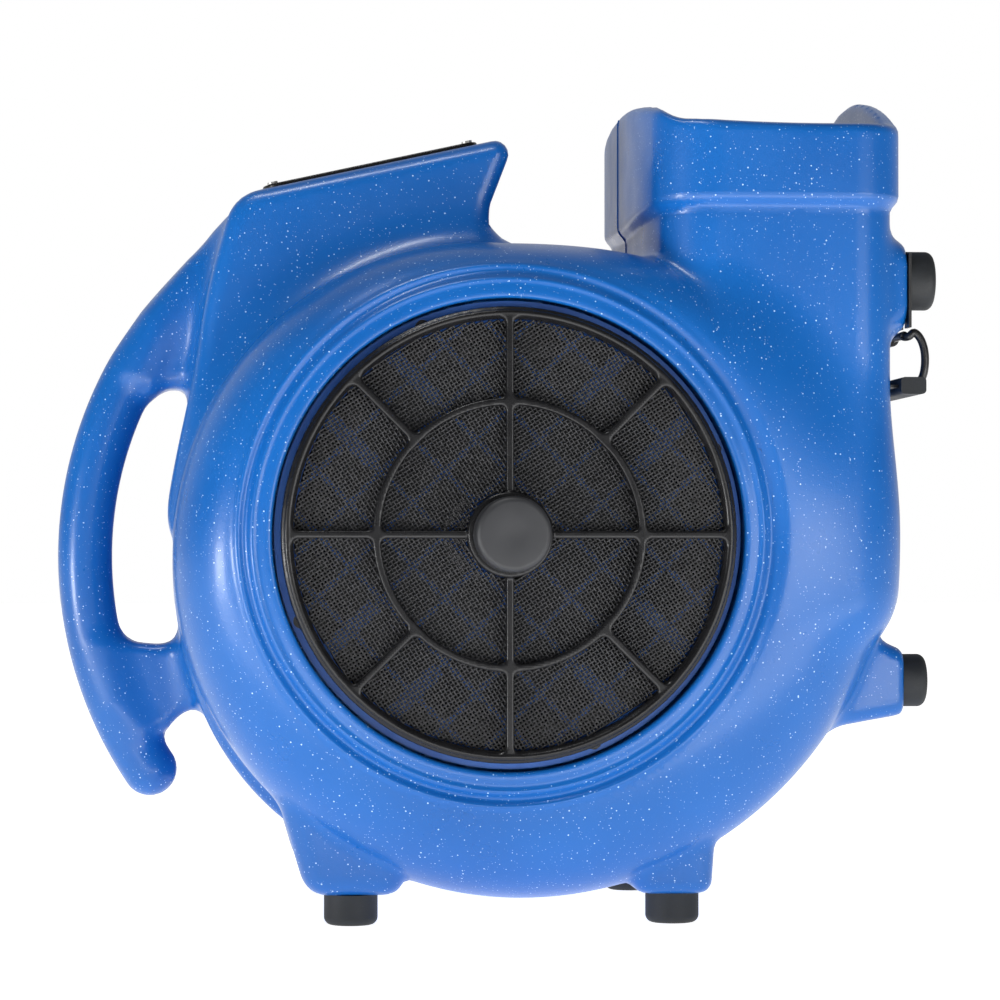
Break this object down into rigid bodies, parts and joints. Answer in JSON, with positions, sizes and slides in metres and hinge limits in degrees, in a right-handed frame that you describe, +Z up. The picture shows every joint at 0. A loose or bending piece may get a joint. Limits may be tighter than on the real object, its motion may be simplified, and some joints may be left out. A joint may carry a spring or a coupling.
{
  "type": "centrifugal air mover",
  "caption": "Portable centrifugal air mover with a scroll housing, round side filters, an upward outlet, a hook handle, rubber feet and a carpet clamp.",
  "frame": {"origin": "floor level under the middle of the bounding box, standing on the four rear feet", "axes": "+Z up, out of the outlet; +X from the handle towards the side feet; Y along the fan's axis, the front inlet facing -Y"},
  "size_m": [0.5051, 0.392, 0.4818],
  "materials": {
    "blue_plastic": "satin rotomoulded polyethylene with fine white specks",
    "guard_plastic": "blue moulded plastic",
    "black_plastic": "fine-grained black moulded plastic",
    "knob_plastic": "dark grey moulded plastic",
    "filter_mesh": "woven black plastic mesh",
    "button_red": "red moulded plastic",
    "wheel_plastic": "glass-filled black nylon",
    "rubber": "dark grey moulded rubber",
    "zinc_steel": "zinc plated",
    "brass": "turned",
    "motor_paint": "black stoving enamel",
    "cast_aluminium": "die cast",
    "bright_steel": "ground",
    "lamination": "varnished laminations",
    "copper_winding": "enamelled copper wire",
    "can_metal": "drawn can",
    "black_steel": "black plated"
  },
  "bodies": {
    "body": {"housing": "blue_plastic", "outlet_grille": "black_plastic", "grille_screws": "black_steel", "inlet_ring_front": "black_plastic", "inlet_ring_rear": "black_plastic", "inlet_guard_front": "guard_plastic", "inlet_guard_rear": "guard_plastic", "guard_screws": "black_steel", "guard_inserts": "brass", "motor_shell": "motor_paint", "motor_end_bell_front": "cast_aluminium", "motor_end_bell_rear": "cast_aluminium", "motor_bearings": "bright_steel", "stator_core": "lamination", "stator_windings": "copper_winding", "motor_bracket": "motor_paint", "motor_bushes": "rubber", "motor_bolts": "zinc_steel", "bracket_screws": "zinc_steel", "control_panel": "black_plastic", "panel_screws": "zinc_steel", "speed_switch": "black_plastic", "timer_body": "black_plastic", "power_socket": "black_plastic", "breaker_body": "black_plastic", "capacitor": "can_metal", "capacitor_clamp": "zinc_steel", "cord_gland": "black_plastic", "gland_nut": "black_plastic", "feet_bottom": "rubber", "feet_side_upper": "rubber", "feet_side_lower": "rubber", "foot_screws": "zinc_steel", "foot_washers": "zinc_steel", "clamp_plate": "black_steel", "clamp_spring": "black_steel"},
    "fan_wheel": {"impeller": "wheel_plastic", "impeller_hub": "cast_aluminium", "hub_set_screw": "zinc_steel", "motor_shaft": "bright_steel", "rotor_core": "lamination"},
    "front_filter": {"filter_frame_front": "black_plastic", "filter_mesh_front": "filter_mesh"},
    "front_filter_knob": {"filter_knob_front": "knob_plastic", "filter_stud_front": "zinc_steel"},
    "rear_filter": {"filter_frame_rear": "black_plastic", "filter_mesh_rear": "filter_mesh"},
    "rear_filter_knob": {"filter_knob_rear": "knob_plastic", "filter_stud_rear": "zinc_steel"},
    "speed_dial": {"speed_knob": "knob_plastic", "speed_spindle": "bright_steel"},
    "timer_dial": {"timer_knob": "knob_plastic", "timer_spindle": "bright_steel"},
    "breaker_reset": {"breaker_button": "button_red"},
    "carpet_clamp": {"clamp_bail": "black_steel", "clamp_jaw": "black_steel", "clamp_pad": "rubber"}
  },
  "joints": [
    {"name": "impeller_spin", "type": "hinge", "parent": "body", "child": "fan_wheel", "pos_m": [0.00275, 0, 0.2211], "axis": [0, 1, 0], "continuous": true},
    {"name": "front_filter_lift", "type": "slide", "parent": "body", "child": "front_filter", "axis": [0, -1, 0], "range_m": [0, 0.06]},
    {"name": "front_knob_turn", "type": "hinge", "parent": "front_filter", "child": "front_filter_knob", "pos_m": [0.00275, -0.185, 0.2211], "axis": [0, -1, 0], "continuous": true},
    {"name": "rear_filter_lift", "type": "slide", "parent": "body", "child": "rear_filter", "axis": [0, 1, 0], "range_m": [0, 0.06]},
    {"name": "rear_knob_turn", "type": "hinge", "parent": "rear_filter", "child": "rear_filter_knob", "pos_m": [0.00275, 0.185, 0.2211], "axis": [0, 1, 0], "continuous": true},
    {"name": "speed_dial_turn", "type": "hinge", "parent": "body", "child": "speed_dial", "pos_m": [-0.09303, -0.026, 0.42261], "axis": [0.2144, 0, -0.9767], "range_deg": [0, 135]},
    {"name": "timer_dial_turn", "type": "hinge", "parent": "body", "child": "timer_dial", "pos_m": [-0.09303, 0.026, 0.42261], "axis": [0.2144, 0, -0.9767], "range_deg": [0, 300]},
    {"name": "breaker_press", "type": "slide", "parent": "body", "child": "breaker_reset", "axis": [0.2144, 0, -0.9767], "range_m": [0, 0.002], "stiffness_N_per_m": 300, "springref_m": -0.002},
    {"name": "clamp_open", "type": "hinge", "parent": "body", "child": "carpet_clamp", "pos_m": [0.23685, 0, 0.3369], "axis": [0, -1, 0], "range_deg": [0, 40], "stiffness_Nm_per_rad": 0.12, "springref_deg": -34.38}
  ]
}
